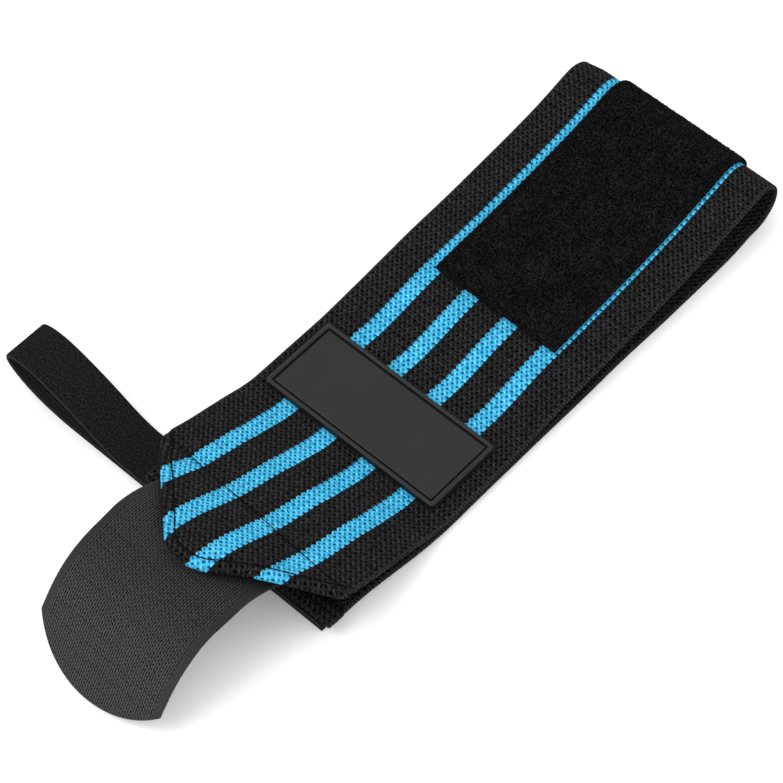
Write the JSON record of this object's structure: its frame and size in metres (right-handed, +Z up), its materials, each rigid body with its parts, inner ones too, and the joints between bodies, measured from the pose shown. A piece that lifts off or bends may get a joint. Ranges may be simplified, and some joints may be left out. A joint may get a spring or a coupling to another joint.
{
  "type": "wrist wrap",
  "caption": "Elastic wrist support wrap folded in two, with striped woven band, hook tongue on the pointed end, loop panel over the fold, bare rubber patch and a thumb loop.",
  "frame": {"origin": "on the flat underside of the lower layer, on the band's middle line, 128 mm from the axis of the fold", "axes": "+X along the band from the pointed end to the fold, +Y across it to the thumb loop, +Z up"},
  "size_m": [0.2807, 0.1406, 0.0349],
  "materials": {
    "striped_elastic": "woven black elastic with blue stripes, matt",
    "loop_pile": "brushed loop pile, matt",
    "patch_rubber": "moulded, satin",
    "hook_tape": "woven tape, slight sheen",
    "strap_elastic": "smooth brushed elastic, matt"
  },
  "bodies": {
    "root": {"band": "striped_elastic", "loop_panel": "loop_pile", "patch": "patch_rubber", "hook_tongue": "hook_tape", "thumb_loop": "strap_elastic"}
  },
  "joints": []
}
